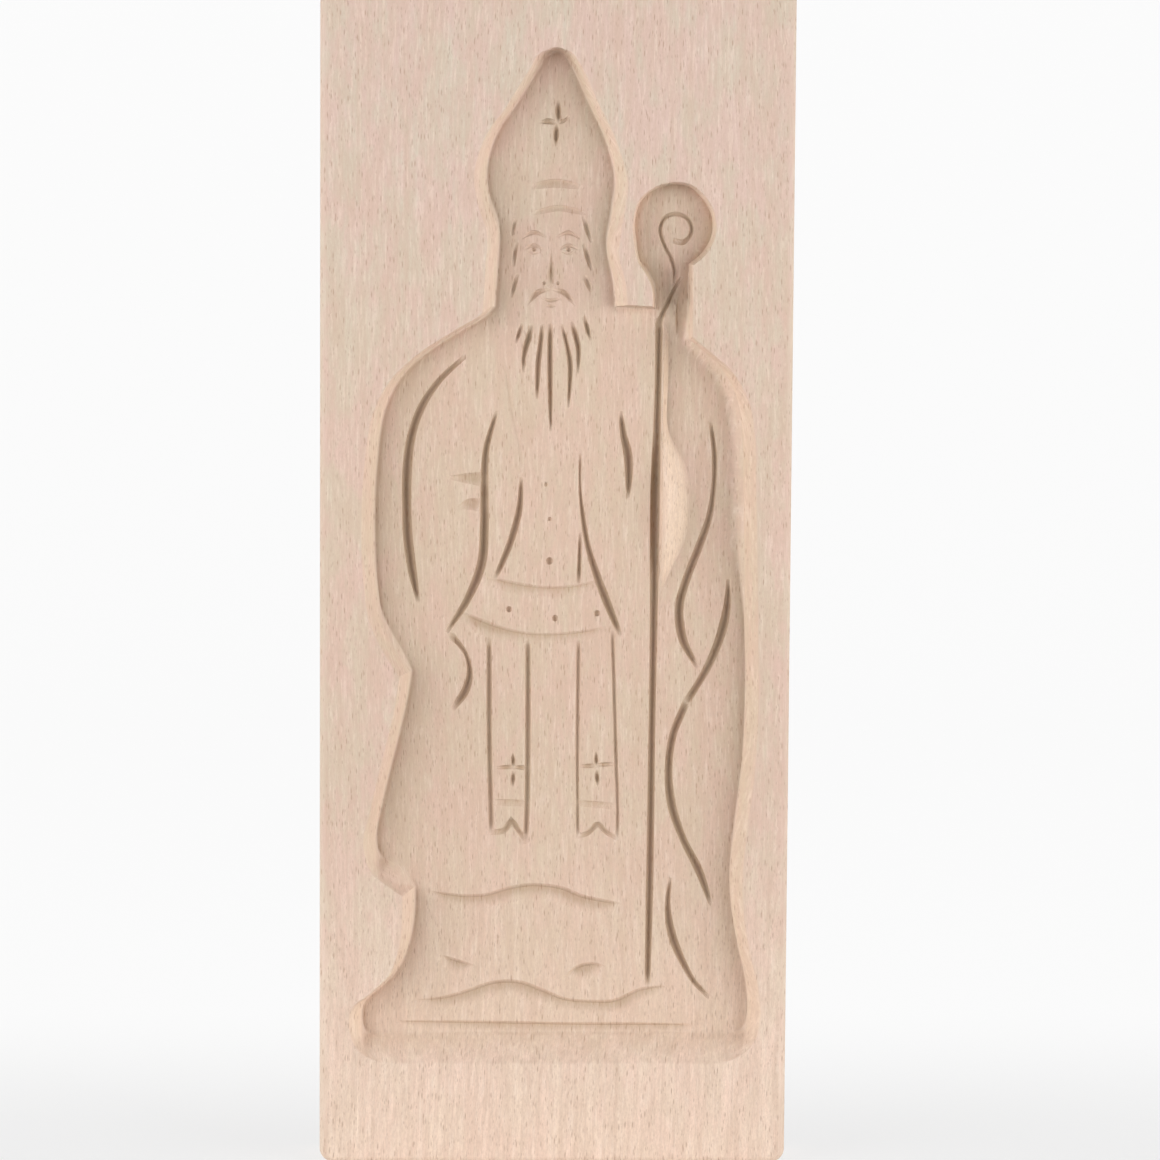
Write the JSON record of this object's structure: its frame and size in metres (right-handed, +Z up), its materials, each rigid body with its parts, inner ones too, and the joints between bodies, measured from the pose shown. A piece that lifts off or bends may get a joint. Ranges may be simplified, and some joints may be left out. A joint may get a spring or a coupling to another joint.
{
  "type": "cookie mould",
  "caption": "Upright hardwood cookie mould: a flat rounded board with a bishop figure and crozier carved as a sunk pocket with notch-cut folds, stoles, beard and mitre.",
  "frame": {"origin": "middle of the board's lower end, halfway through its thickness", "axes": "+Z up the board towards the mitre, -Y out of the carved face, +X to the right of someone looking at the carved face"},
  "size_m": [0.12, 0.02, 0.31],
  "materials": {
    "beech": "bare sanded flat-sawn beech, matt, with short darker ray flecks"
  },
  "bodies": {
    "root": {"mould_board": "beech"}
  },
  "joints": []
}
